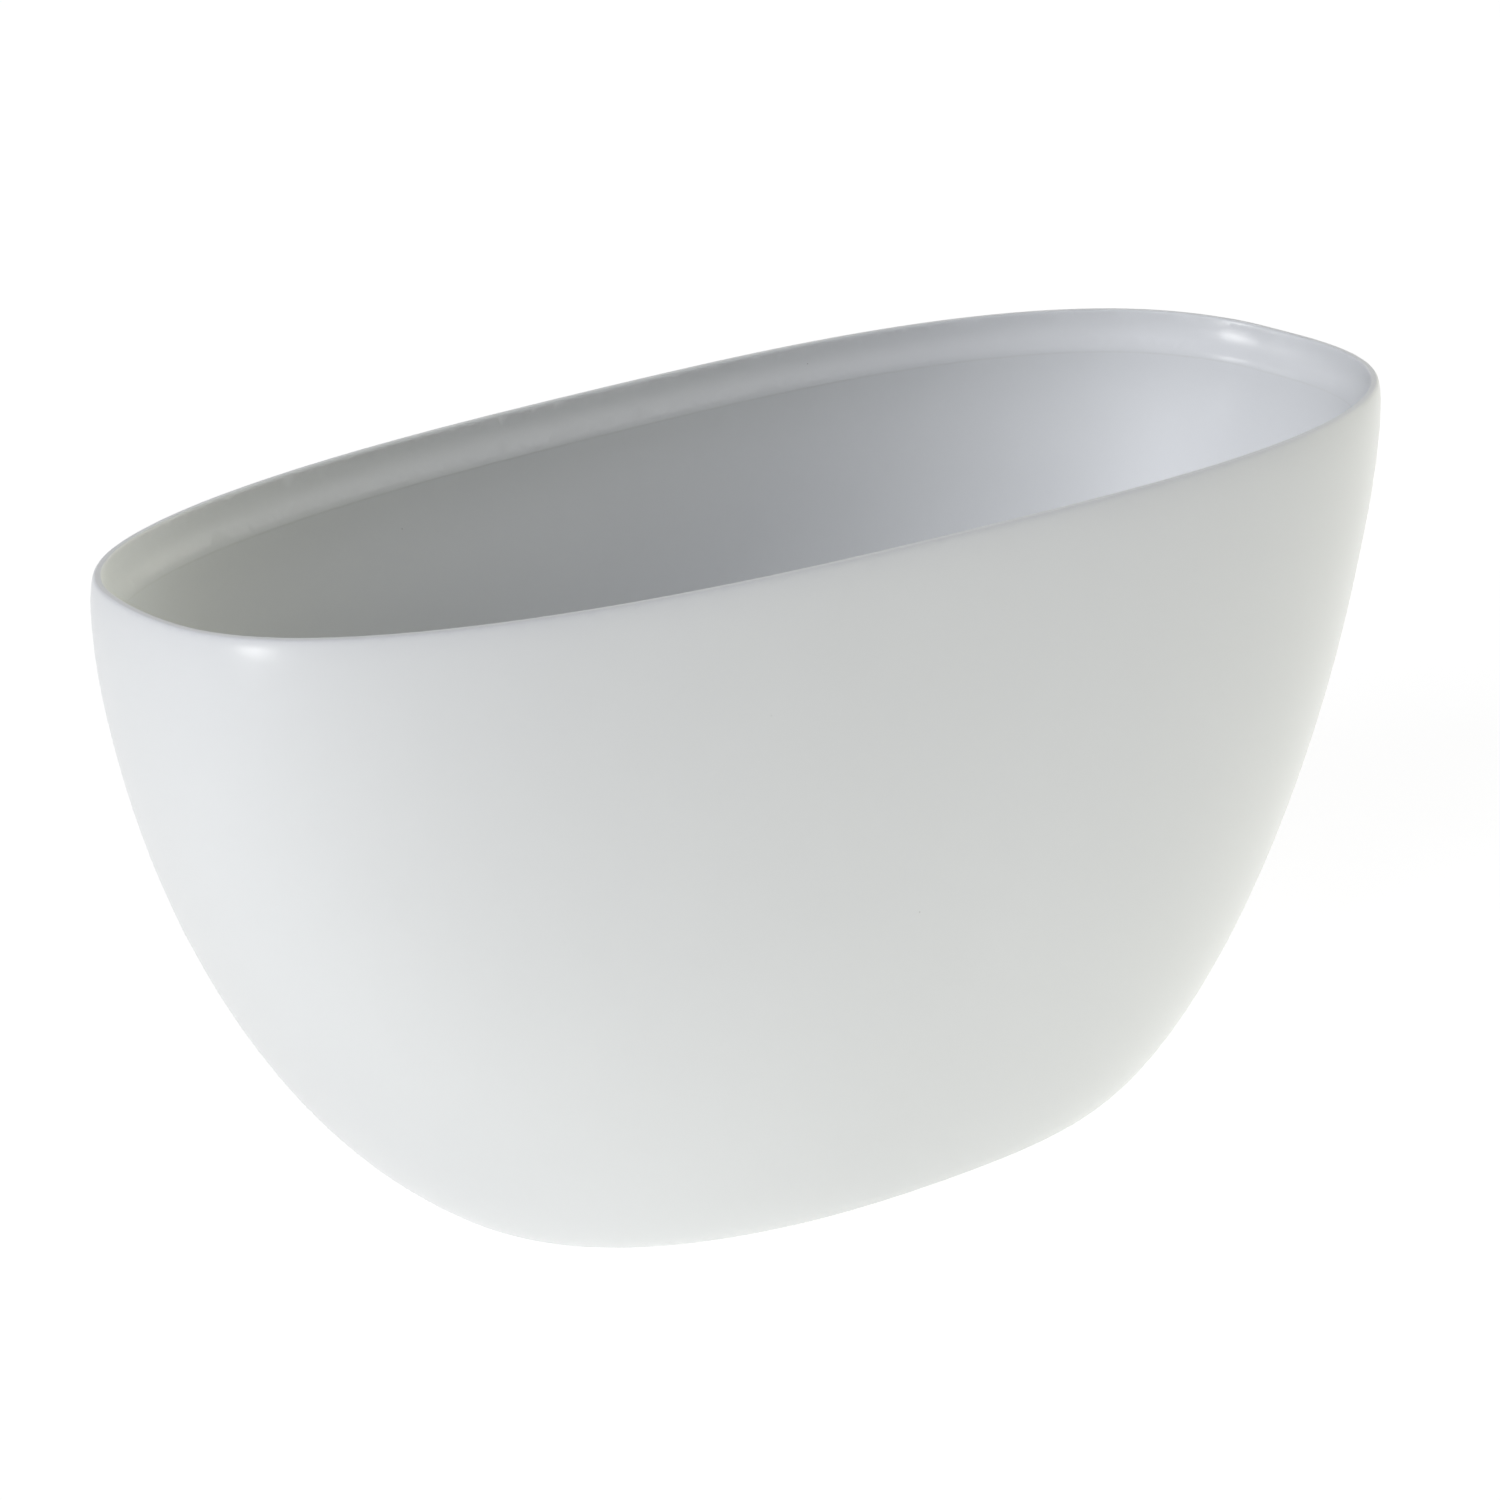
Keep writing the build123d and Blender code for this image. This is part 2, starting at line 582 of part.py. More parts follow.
def make_overflow_seal(basin):
    plane = overflow_plane()
    ring = tube(OVERFLOW_CUP, OVERFLOW_HOLE, cup_front(), cup_front() + 2 * OVERFLOW_SEAL)
    pieces = (plane * ring - basin).solids()
    return min(pieces, key=lambda piece: (piece.center() - plane.origin).dot(plane.z_dir))


def make_overflow_cover(room):
    reach, sunk = COVER_DIAMETER / 2, WELL_WALL / 2
    dome = rod(COVER_DIAMETER, -sunk, COVER_DEPTH)
    dome = fillet(dome.edges().group_by(Axis.Z)[-1], ROUND_SHARE * COVER_DEPTH)
    dome -= rod(COVER_DIAMETER - 2 * COVER_WALL, -sunk - OVERCUT, COVER_DEPTH - COVER_WALL)
    first = -COVER_SLOT_PITCH * (COVER_SLOTS - 1) / 2 - 90
    for k in range(COVER_SLOTS):
        slot = Box(reach, COVER_SLOT_WIDTH, COVER_DEPTH - 2 * COVER_WALL, align=LYING)
        turn = Rot(0, 0, first + COVER_SLOT_PITCH * k)
        dome -= turn * Pos(reach / 2, 0, 0) * slot
    dome = overflow_plane() * dome & room
    post = rod(OVERFLOW_BOSS, cup_front(), COVER_DEPTH - COVER_WALL / 2)
    bore = rod(COVER_SCREW + 2 * FIT_CLEARANCE, cup_front() - OVERCUT, COVER_DEPTH + OVERCUT)
    return dome + overflow_plane() * post - overflow_plane() * bore


def make_overflow_screw():
    end = cup_front() - OVERFLOW_CUP_DEPTH + 2 * OVERFLOW_CUP_WALL
    head = rod(COVER_SCREW_HEAD, COVER_DEPTH, COVER_DEPTH + COVER_SCREW_HEAD_HEIGHT)
    head = fillet(head.edges().group_by(Axis.Z)[-1], ROUND_SHARE * COVER_SCREW_HEAD_HEIGHT)
    return overflow_plane() * (head + rod(COVER_SCREW, end, COVER_DEPTH))


def hose_ends():
    plane = overflow_plane()
    start = plane.from_local_coords(Vector(0, -OVERFLOW_CUP / 2 - CUP_WALL, hose_depth()))
    port_end = WASTE_TAIL / 2 + FIT_CLEARANCE + 2 * CUP_WALL
    return start, Vector(0, -port_end, PORT_HEIGHT)


def hose_path():
    start, end = hose_ends()
    fall = overflow_plane().y_dir * -1
    corner = start + fall * ((PORT_HEIGHT - start.Z) / fall.Z)
    return FilletPolyline(start, corner, end, radius=HOSE_BEND)


def make_overflow_hose():
    path = hose_path()
    plane = Plane(origin=path @ 0, z_dir=path % 0)
    outside = sweep(plane * Circle(HOSE / 2), path)
    inside = sweep(plane * Circle(HOSE / 2 - HOSE_WALL), path)
    return outside - inside


def make_hose_clips():
    path = hose_path()
    clips = []
    bore = HOSE + 2 * FIT_CLEARANCE
    for place, inward in ((path @ 0, path % 0), (path @ 1, (path % 1) * -1)):
        clip = tube(bore + 2 * CLIP_GAUGE, bore, CLIP_WIDTH, 2 * CLIP_WIDTH)
        clips.append(Plane(origin=place, z_dir=inward) * clip)
    return Compound(children=clips)


def make_pieces():
    room = make_well_room()
    basin = make_inner_basin(room)
    pieces = {
        "outer_shell": make_outer_shell(),
        "inner_basin": basin,
        "rim_seal": make_rim_seal(),
        "base_board": make_base_board(),
        "leg_channel_head": make_leg_channel(LEG_SPACING / 2),
        "leg_channel_foot": make_leg_channel(-LEG_SPACING / 2),
        "leg_screws": make_beam_screws(),
        "weld_nuts": make_nuts(WEB_UNDER, WELD_NUT_HEIGHT),
        "lock_nuts": make_nuts(WEB_UNDER - WELD_NUT_HEIGHT, LOCK_NUT_HEIGHT),
        "waste_flange": make_waste_flange(),
        "waste_seal_upper": make_waste_seal_upper(),
        "waste_seal_lower": make_waste_seal_lower(),
        "waste_body": make_waste_body(),
        "plug_cap": make_plug_cap(),
        "plug_stem": make_plug_stem(),
        "plug_seal": make_plug_seal(),
        "plug_cartridge": make_plug_cartridge(),
        "trap_body": make_trap_body(),
        "trap_union_nut": make_trap_union_nut(),
        "trap_washer": make_trap_washer(),
        "trap_cap": make_trap_cap(),
        "trap_cap_seal": make_trap_cap_seal(),
        "overflow_cover": make_overflow_cover(room),
        "overflow_seal": make_overflow_seal(basin),
        "overflow_body": make_overflow_body(),
        "overflow_screw": make_overflow_screw(),
        "overflow_hose": make_overflow_hose(),
        "hose_clips": make_hose_clips(),
    }
    for corner, (x, y) in CORNERS.items():
        pieces[f"leveller_stud_{corner}"] = make_leveller_stud(x, y)
        pieces[f"leveller_pad_{corner}"] = make_leveller_pad(x, y)
    return pieces


def main():
    os.makedirs("parts", exist_ok=True)
    for name, shape in make_pieces().items():
        export_step(shape, f"parts/{name}.step")


main()
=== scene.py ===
# %% [markdown]
# # A freestanding bathtub in satin white
# The tub is one smooth egg-shaped form: an outer shell with a thin rolled rim, and a bath well that is set into it
# and sealed under a narrow inner band. Everything is measured in metres, with +Z up, +X to the wide head end and the
# floor at zero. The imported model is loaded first, because it fixes every size. The work here is to give each piece
# the finish of the real thing, and to make again, in finer form, the few small parts that are threaded or ribbed.

from math import cos, pi, radians, sin, tan

import bpy
from mathutils import Matrix, Quaternion, Vector


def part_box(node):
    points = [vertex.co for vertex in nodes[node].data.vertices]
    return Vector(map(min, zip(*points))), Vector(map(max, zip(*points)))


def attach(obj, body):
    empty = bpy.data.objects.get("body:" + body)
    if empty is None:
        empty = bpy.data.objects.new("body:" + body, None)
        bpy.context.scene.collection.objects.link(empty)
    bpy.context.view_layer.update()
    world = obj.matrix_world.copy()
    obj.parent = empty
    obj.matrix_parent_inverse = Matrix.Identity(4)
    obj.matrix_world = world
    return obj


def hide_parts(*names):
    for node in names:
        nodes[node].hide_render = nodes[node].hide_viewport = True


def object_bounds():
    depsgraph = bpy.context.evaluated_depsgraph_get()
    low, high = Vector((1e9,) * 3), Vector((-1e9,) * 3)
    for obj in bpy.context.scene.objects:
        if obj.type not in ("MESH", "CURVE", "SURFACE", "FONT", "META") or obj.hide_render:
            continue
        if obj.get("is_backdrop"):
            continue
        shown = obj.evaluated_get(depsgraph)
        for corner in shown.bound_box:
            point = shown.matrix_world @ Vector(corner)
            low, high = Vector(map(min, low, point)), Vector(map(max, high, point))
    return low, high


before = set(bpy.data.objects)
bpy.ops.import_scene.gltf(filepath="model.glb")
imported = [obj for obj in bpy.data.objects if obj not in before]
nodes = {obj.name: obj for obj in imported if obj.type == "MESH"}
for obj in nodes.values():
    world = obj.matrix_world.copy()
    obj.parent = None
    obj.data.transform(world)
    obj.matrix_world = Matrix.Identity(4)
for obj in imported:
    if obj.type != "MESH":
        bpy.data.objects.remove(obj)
cad_low, cad_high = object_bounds()
print("pieces:", len(nodes), "box:", [round(high - low, 3) for low, high in zip(cad_low, cad_high)])

# %% [markdown]
# ## Where the camera stands
# A tub like this is photographed with a long lens, from the foot end's left and a little above the rim, so that the
# long wall and a slice of the inside show together. A camera is best placed by what it looks at: a target, a
# distance and two angles. The small shift only moves the picture in its frame, so that the tub sits a little low.

# %% Camera
TUB_HEIGHT = cad_high[2]
CAMERA_TARGET = Vector((0, 0, TUB_HEIGHT / 2))
CAMERA_DISTANCE = 3.868
CAMERA_TURN = radians(40.24)
CAMERA_RISE = radians(21.66)
CAMERA_LENS = 89.64
CAMERA_SENSOR = 36.0
CAMERA_SHIFT_X = -0.0195
CAMERA_SHIFT_Y = 0.0246

towards_camera = Vector(
    (-sin(CAMERA_TURN) * cos(CAMERA_RISE), -cos(CAMERA_TURN) * cos(CAMERA_RISE), sin(CAMERA_RISE))
)
camera = bpy.data.objects.new("camera", bpy.data.cameras.new("camera"))
bpy.context.collection.objects.link(camera)
camera.location = CAMERA_TARGET + CAMERA_DISTANCE * towards_camera
camera.rotation_euler = towards_camera.to_track_quat("Z", "Y").to_euler()
camera.data.lens = CAMERA_LENS
camera.data.sensor_width = CAMERA_SENSOR
camera.data.shift_x = CAMERA_SHIFT_X
camera.data.shift_y = CAMERA_SHIFT_Y
bpy.context.scene.camera = camera
print("camera at", [round(value, 3) for value in camera.location])

# %% [markdown]
# ## Lamps that only shade
# White on white lives by its shading. The main light is cool and comes from the foot end, from far away: it
# brightens the rounded foot, slides along the long wall and reaches over the rim into the head end of the well, where
# the rim's shadow ends softly. A weaker lamp beside it and another low in front fill the long wall. A warm one, low
# behind the head end, lifts the right edge off the white ground, and a narrow one just over the horizon reaches
# across the tub to the inner band of the foot end. All are distant, because a soft box close by would burn out the
# near end of a piece as long as this. They are kept out of reflections, where the satin face would smear them into
# streaks.

# %% Lamps
COOL = (0.915, 0.925, 1.0)
WARM = (1.0, 0.995, 0.86)
NEUTRAL = (1.0, 1.0, 1.0)


def far_lamp(name, turn, rise, spread, strength, colour):
    """A distant lamp: its compass turn from +X, its rise over the horizon and its width, in degrees."""
    data = bpy.data.lights.new(name, "SUN")
    data.angle = radians(spread)
    data.energy = strength
    data.color = colour
    lamp = bpy.data.objects.new(name, data)
    bpy.context.collection.objects.link(lamp)
    around, over = radians(turn), radians(rise)
    direction = Vector((cos(around) * cos(over), sin(around) * cos(over), sin(over)))
    lamp.rotation_euler = direction.to_track_quat("Z", "Y").to_euler()
    lamp.visible_glossy = False
    print("lamp", name, "turn", turn, "rise", rise)


far_lamp("foot_lamp", turn=192, rise=30, spread=30, strength=1.76, colour=COOL)
far_lamp("side_lamp", turn=216, rise=38, spread=30, strength=0.37, colour=COOL)
far_lamp("head_lamp", turn=0, rise=6, spread=40, strength=2.5, colour=WARM)
far_lamp("front_lamp", turn=-60, rise=4, spread=40, strength=0.13, colour=NEUTRAL)
far_lamp("band_lamp", turn=-3, rise=1.6, spread=3, strength=0.33, colour=NEUTRAL)

# %% [markdown]
# ## Panels that only glint
# What tells satin from chalk is a few glints: one on the rim's roll at the foot end, and one on the inner band at the
# head end with a thin echo on the nose below it. Each comes from a small panel that is seen in reflections alone. The
# panels stand near the tub and hardly over the rim's height, so that the rim hides each of them wherever a second
# glint would be wrong.

# %% Glints
FOOT_ROLL = (-0.706, -0.134, 0.708)
HEAD_BAND = (0.734, 0.067, 0.701)
FOOT_PANEL = (-1.626, -0.525, 0.7)
HEAD_PANEL = (-0.463, 0.575, 0.765)


def glint_panel(name, place, aim, width, height, watts):
    """A small panel that faces its aim and shows only as a glint in shiny faces."""
    data = bpy.data.lights.new(name, "AREA")
    data.shape = "RECTANGLE"
    data.size = width
    data.size_y = height
    data.energy = watts
    lamp = bpy.data.objects.new(name, data)
    bpy.context.collection.objects.link(lamp)
    lamp.location = place
    lamp.rotation_euler = (Vector(place) - Vector(aim)).to_track_quat("Z", "Y").to_euler()
    lamp.visible_camera = False
    lamp.visible_diffuse = False
    print("panel", name, "at", place)


glint_panel("foot_glint", FOOT_PANEL, aim=FOOT_ROLL, width=0.2, height=0.06, watts=2.2)
glint_panel("head_glint", HEAD_PANEL, aim=HEAD_BAND, width=0.3, height=0.07, watts=5.0)

# %% [markdown]
# ## Shader sums written as sums
# Finishes are built from nodes. Written out one by one, they hide the idea, so this small class lets a socket be
# added, multiplied or compared as if it were a number. Every other node comes from its one method, node(), which
# takes the node's type, its settings and what goes into its sockets.

# %% A socket that can be used in sums


class Shade:
    """One node output. Sums on it add Math nodes, and node() adds any other kind."""

    def __init__(self, tree, socket=None):
        self.tree = tree
        self.socket = socket

    def node(self, kind, settings=None, inputs=None, output=0):
        made = self.tree.nodes.new(kind)
        for name, value in (settings or {}).items():
            setattr(made, name, value)
        for name, value in (inputs or {}).items():
            if isinstance(value, Shade):
                self.tree.links.new(value.socket, made.inputs[name])
            else:
                made.inputs[name].default_value = value
        return Shade(self.tree, made.outputs[output] if len(made.outputs) else None)

    def sum(self, operation, first, second=0.0):
        return self.node("ShaderNodeMath", {"operation": operation}, {0: first, 1: second})

    def __add__(self, other):
        return self.sum("ADD", self, other)

    def __radd__(self, other):
        return self.sum("ADD", other, self)

    def __sub__(self, other):
        return self.sum("SUBTRACT", self, other)

    def __rsub__(self, other):
        return self.sum("SUBTRACT", other, self)

    def __mul__(self, other):
        return self.sum("MULTIPLY", self, other)

    def __rmul__(self, other):
        return self.sum("MULTIPLY", other, self)

    def __gt__(self, other):
        return self.sum("GREATER_THAN", self, other)

    def __lt__(self, other):
        return self.sum("LESS_THAN", self, other)


print("sums ready")

# %% [markdown]
# ## The bench for finishes
# Every finish starts from the same three things: where on the piece a point lies, a noise that is fine or coarse
# there, and a bump that turns a height into relief. The place is read in the piece's own space, so a pattern stays
# with a foot or a plug when that moves. Scales count pattern cells per metre: 20 makes blotches of 50 mm, and 400
# makes a grain of 2.5 mm.

# %% Helpers for finishes


def new_finish(name):
    """An empty material and the Shade to build it with."""
    material = bpy.data.materials.new(name)
    material.use_nodes = True
    material.node_tree.nodes.clear()
    return material, Shade(material.node_tree)


def place_on_piece(shade):
    return shade.node("ShaderNodeTexCoord", output="Object")


def facing(shade):
    """Which way the surface faces, in the piece's own space."""
    return shade.node("ShaderNodeTexCoord", output="Normal")


def part_of(vector, axis):
    return vector.node("ShaderNodeSeparateXYZ", inputs={0: vector}, output=axis)


def stretched(vector, factors):
    return vector.node("ShaderNodeVectorMath", {"operation": "MULTIPLY"}, {0: vector, 1: factors})


def ramp(value, low, high):
    """0 up to low, 1 from high on, and a straight rise between."""
    return value.node("ShaderNodeMapRange", inputs={"Value": value, "From Min": low, "From Max": high})


def noise(vector, scale, detail=2.0):
    return vector.node("ShaderNodeTexNoise", inputs={"Vector": vector, "Scale": scale, "Detail": detail})


def cells(vector, scale, output):
    return vector.node("ShaderNodeTexVoronoi", inputs={"Vector": vector, "Scale": scale}, output=output)


def between(share, low, high):
    """A value from low to high."""
    return low * (1 - share) + high * share


def blend(share, low, high):
    """A colour from low to high."""
    return share.node("ShaderNodeMix", {"data_type": "RGBA"}, {0: share, 6: low, 7: high}, output=2)


def relief(height, depth, strength=1.0):
    """A normal from a height of 0 to 1 that stands for a depth in metres."""
    return height.node("ShaderNodeBump", inputs={"Height": height, "Distance": depth, "Strength": strength})


def coat(shade, **inputs):
    """The shader itself, with its sockets named in lower case."""
    sockets = {name.replace("_", " ").title().replace("Ior", "IOR"): value for name, value in inputs.items()}
    surface = shade.node("ShaderNodeBsdfPrincipled", inputs=sockets)
    shade.node("ShaderNodeOutputMaterial", inputs={"Surface": surface})


def wear(material, *names):
    """Gives the named pieces this finish alone."""
    for name in names:
        slots = nodes[name].data.materials
        slots.clear()
        slots.append(material)
    print(material.name, "on", ", ".join(names))


print("bench ready")

# %% [markdown]
# ## The white room
# Seen by the camera or in a mirror finish, the room is plain white. To the light that shades the tub it is nearly
# dark, with only a little from the top, because a bright room would fill every hollow and flatten the form. The kind
# of ray that arrives chooses between the two.

# %% Room
WHITE = (1.0, 1.0, 1.0, 1.0)
ROOM_LIGHT_LOW = 0.0
ROOM_LIGHT_TOP = 0.06
TOP_FROM = 0.3
TOP_FULL = 0.8


def seen_directly(shade):
    """1 for rays of the camera and for reflections and see-through rays, 0 for other light."""
    camera_ray = shade.node("ShaderNodeLightPath", output="Is Camera Ray")
    glossy_ray = shade.node("ShaderNodeLightPath", output="Is Glossy Ray")
    clear_ray = shade.node("ShaderNodeLightPath", output="Is Transmission Ray")
    return shade.sum("MAXIMUM", camera_ray, shade.sum("MAXIMUM", glossy_ray, clear_ray))


def mixed(share, first, second):
    """A shader from first to second."""
    return share.node("ShaderNodeMixShader", inputs={0: share, 1: first, 2: second})


def light_room():
    """A world that is white to look at and nearly dark as a light."""
    world = bpy.data.worlds.new("white_room")
    bpy.context.scene.world = world
    world.use_nodes = True
    world.node_tree.nodes.clear()
    sky = Shade(world.node_tree)
    height = part_of(sky.node("ShaderNodeTexCoord", output="Generated"), "Z")
    overhead = ramp(height, TOP_FROM, TOP_FULL)
    low = sky.node("ShaderNodeBackground", inputs={"Color": WHITE, "Strength": ROOM_LIGHT_LOW})
    top = sky.node("ShaderNodeBackground", inputs={"Color": WHITE, "Strength": ROOM_LIGHT_TOP})
    plain = sky.node("ShaderNodeBackground", inputs={"Color": WHITE, "Strength": 1.0})
    surface = mixed(seen_directly(sky), mixed(overhead, low, top), plain)
    sky.node("ShaderNodeOutputWorld", inputs={"Surface": surface})


light_room()
print("room light", ROOM_LIGHT_LOW, "to", ROOM_LIGHT_TOP)

# %% [markdown]
# ## The lit table
# The tub stands on a white table that is lit from within, as in a light tent, so its lower half is the brightest and
# its walls darken gently towards the rim. The glow is dim close to the ends, dimmest at the head, stronger along the
# long walls and full near the table's edge. Rays find so large a light by themselves, so it isn't sampled as a lamp,
# and the picture is cleaner for it. The camera sees the table nearly plain white, but a share of the real matt floor
# is kept in that picture, so that the tub still stands on its soft shadow.

# %% Table
TABLE_WHITE = (1.0, 1.0, 0.93, 1.0)
MATT_WHITE = (0.86, 0.86, 0.855, 1.0)
FLOOR_SIZE = 40.0
SEEN_GLOW = 0.7
SHADOW_SHARE = 0.2
WIDENED = (1.0, 1.6, 0.0)
NEAR_FOOT = 0.33
NEAR_HEAD = 0.16
NEAR_SIDES = 0.48
HEAD_TURN = 0.5
SIDE_FROM = 0.45
SIDE_TO = 0.85
END_NEAR = 1.1
END_FULL = 1.7
SIDE_NEAR = 0.6
SIDE_FULL = 1.4
EDGE_FROM = 2.4
EDGE_TO = 2.8


def table_glow(place):
    """How bright the lit table is around the tub, from 0 to 1. A plan that is widened makes the tub rounder."""
    flat = stretched(place, WIDENED)
    reach = flat.node("ShaderNodeVectorMath", {"operation": "LENGTH"}, {0: flat}, output="Value")
    heading = flat.node("ShaderNodeVectorMath", {"operation": "NORMALIZE"}, {0: flat})
    to_head = ramp(part_of(heading, "X"), -HEAD_TURN, HEAD_TURN)
    to_side = ramp(flat.sum("ABSOLUTE", part_of(heading, "Y")), SIDE_FROM, SIDE_TO)
    near = between(to_side, between(to_head, NEAR_FOOT, NEAR_HEAD), NEAR_SIDES)
    away = ramp(reach, between(to_side, END_NEAR, SIDE_NEAR), between(to_side, END_FULL, SIDE_FULL))
    past_edge = ramp(reach, EDGE_FROM, EDGE_TO)
    return between(away, near, 1.0) * (1 - past_edge)


def lay_floor():
    """A square table whose glow shades the tub, while the camera sees it nearly plain white."""
    half = FLOOR_SIZE / 2
    mesh = bpy.data.meshes.new("floor")
    mesh.from_pydata([(-half, -half, 0), (half, -half, 0), (half, half, 0), (-half, half, 0)], [], [(0, 1, 2, 3)])
    table = bpy.data.objects.new("floor", mesh)
    bpy.context.collection.objects.link(table)
    table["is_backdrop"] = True
    material, shade = new_finish("table_white")
    matt = shade.node("ShaderNodeBsdfDiffuse", inputs={"Color": MATT_WHITE})
    dark = shade.node("ShaderNodeEmission", inputs={"Color": TABLE_WHITE, "Strength": 0.0})
    bright = shade.node("ShaderNodeEmission", inputs={"Color": TABLE_WHITE, "Strength": 1.0})
    glow = mixed(table_glow(place_on_piece(shade)), dark, bright)
    lit_table = shade.node("ShaderNodeAddShader", inputs={0: matt, 1: glow})
    even_glow = shade.node("ShaderNodeEmission", inputs={"Color": WHITE, "Strength": SEEN_GLOW})
    real_table = shade.node("ShaderNodeAddShader", inputs={0: matt, 1: even_glow})
    plain = shade.node("ShaderNodeEmission", inputs={"Color": WHITE, "Strength": 1.0})
    seen = shade.node("ShaderNodeMixShader", inputs={0: 1 - SHADOW_SHARE, 1: real_table, 2: plain})
    surface = mixed(seen_directly(shade), lit_table, seen)
    shade.node("ShaderNodeOutputMaterial", inputs={"Surface": surface})
    material.cycles.emission_sampling = "NONE"
    mesh.materials.append(material)


lay_floor()
print("table glow", NEAR_HEAD, "to", NEAR_SIDES, "near the tub")

# %% [markdown]
# ## White gelcoat, and the glass fibre behind it
# The shells are sprayed with a white gelcoat and backed by a mat of chopped glass in resin. The face is satin: it
# shows soft glints but no clear mirror, with a faint orange peel from the spray, a hardly visible drift of tone and
# a few specks of dust. Its roughness stays at 0.28 or more: a smoother face counts as a mirror to the filter that
# cleans the picture, and comes out flaky. The back is what one sees from below: creamy, rough and crossed by strands.
# Painting the back as a second material would need the faces sorted by hand, so both live in one finish, and a mask
# of which way a face looks from the middle of the tub tells them apart.

# %% Gelcoat
GELCOAT_PALE = (0.808, 0.822, 0.816, 1.0)
GELCOAT_DEEP = (0.785, 0.799, 0.793, 1.0)
DUST_GREY = (0.34, 0.34, 0.32, 1.0)
RESIN_CREAM = (0.70, 0.68, 0.56, 1.0)
RESIN_DEEP = (0.55, 0.53, 0.42, 1.0)
STRAND_TURNS = (0.0, 60.0, 120.0)
SATIN = 0.28
DUST_PER_METRE = 16.0
DUST_SIZE = 0.0006
DUST_RARITY = 0.62
INWARDS = -0.03


def dust_specks(place):
    """1 on a few dots under a millimetre wide, about one to a hand's width, and 0 elsewhere."""
    near_dot = cells(place, DUST_PER_METRE, "Distance") < DUST_SIZE * DUST_PER_METRE
    chosen = part_of(cells(place, DUST_PER_METRE, "Color"), "X") > DUST_RARITY
    return near_dot * chosen


def glass_strands(place):
    """Height of a mat of chopped strands that lie three ways."""
    height = 0.0
    for turn in STRAND_TURNS:
        settings = {"rotation_type": "Z_AXIS"}
        turned = place.node("ShaderNodeVectorRotate", settings, {"Vector": place, "Angle": radians(turn)})
        strand = noise(stretched(turned, (1.0, 9.0, 9.0)), 34.0, 1.0) > 0.56
        height = strand * 0.33 + height
    return height


def make_gelcoat(name, is_back):
    """is_back takes the place and the facing of a point and gives 1 on the fibre side."""
    material, shade = new_finish(name)
    place = place_on_piece(shade)
    back = is_back(place, facing(shade))
    strands = glass_strands(place)
    tone = blend(noise(place, 5.0), GELCOAT_DEEP, GELCOAT_PALE)
    face_colour = blend(dust_specks(place), tone, DUST_GREY)
    back_colour = blend(strands, RESIN_DEEP, RESIN_CREAM)
    face_roughness = SATIN + 0.05 * noise(place, 24.0, 3.0)
    back_roughness = 0.75 - 0.25 * strands
    peel = noise(place, 420.0, 1.0)
    height = peel * 0.02 * (1 - back) + strands * back
    coat(
        shade,
        base_color=blend(back, face_colour, back_colour),
        roughness=face_roughness * (1 - back) + back_roughness * back,
        normal=relief(height, 0.0007),
    )
    return material


def outward(place, face):
    """Above 0 where a face looks away from the upright axis of the tub."""
    return part_of(place, "X") * part_of(face, "X") + part_of(place, "Y") * part_of(face, "Y")


def back_of_shell(place, face):
    """The shell's lower edge looks straight down, so only faces that look clearly inwards count as its back."""
    band_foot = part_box("rim_seal")[1].z
    return (outward(place, face) < INWARDS) * (part_of(place, "Z") < band_foot)


def back_of_well(place, face):
    """The well's back looks away from the tub's axis and down."""
    return (outward(place, face) - 0.3 * part_of(face, "Z")) > 0


wear(make_gelcoat("shell_gelcoat", back_of_shell), "outer_shell")
wear(make_gelcoat("well_gelcoat", back_of_well), "inner_basin")

# %% [markdown]
# ## The seal under the band
# Shell and well meet in a thin bead of sanitary silicone. It is white too, but duller and a touch warmer than the
# gelcoat, and its tooled surface is never quite even. A coarse noise in the relief and in the roughness is enough.

# %% Seal
SEAL_WHITE = (0.800, 0.812, 0.800, 1.0)
SEAL_SHADE = (0.770, 0.782, 0.768, 1.0)


def make_seal():
    material, shade = new_finish("white_silicone")
    place = place_on_piece(shade)
    drag = noise(stretched(place, (1.0, 1.0, 3.0)), 60.0, 3.0)
    coat(
        shade,
        base_color=blend(noise(place, 30.0), SEAL_SHADE, SEAL_WHITE),
        roughness=0.42 + 0.16 * drag,
        normal=relief(drag, 0.0004),
    )
    return material


wear(make_seal(), "rim_seal")

# %% [markdown]
# ## Polished chrome
# The waste plate, the plug, the overflow cover and its screw are plated brass. Chrome is nearly a mirror, so what
# makes it real is what spoils the mirror: smudges where fingers were, and the dull rims of dried drops. Both go
# into the roughness alone, because the colour of a metal is the colour of what it reflects.

# %% Chrome
CHROME_GREY = (0.80, 0.81, 0.82, 1.0)
CHROME_WARM = (0.76, 0.77, 0.77, 1.0)


def make_chrome():
    material, shade = new_finish("polished_chrome")
    place = place_on_piece(shade)
    smudge = noise(place, 45.0, 4.0)
    distance = cells(place, 150.0, "Distance")
    dried_drop = (distance > 0.26) * (distance < 0.32)
    coat(
        shade,
        base_color=blend(smudge, CHROME_WARM, CHROME_GREY),
        metallic=1.0,
        roughness=0.05 + 0.09 * smudge + 0.10 * dried_drop,
        normal=relief(noise(stretched(place, (1.0, 7.0, 1.0)), 500.0), 0.00001),
    )
    return material


chrome = make_chrome()
wear(chrome, "waste_flange", "plug_cap", "overflow_cover", "overflow_screw")

# %% [markdown]
# ## Turned brass
# The plug's stem and its click cartridge come off a lathe. The tool leaves rings around the axis, which a wave along
# Z gives, and handling leaves the metal a little brown in places.

# %% Brass
BRASS_BRIGHT = (0.74, 0.57, 0.30, 1.0)
BRASS_BROWN = (0.48, 0.34, 0.17, 1.0)


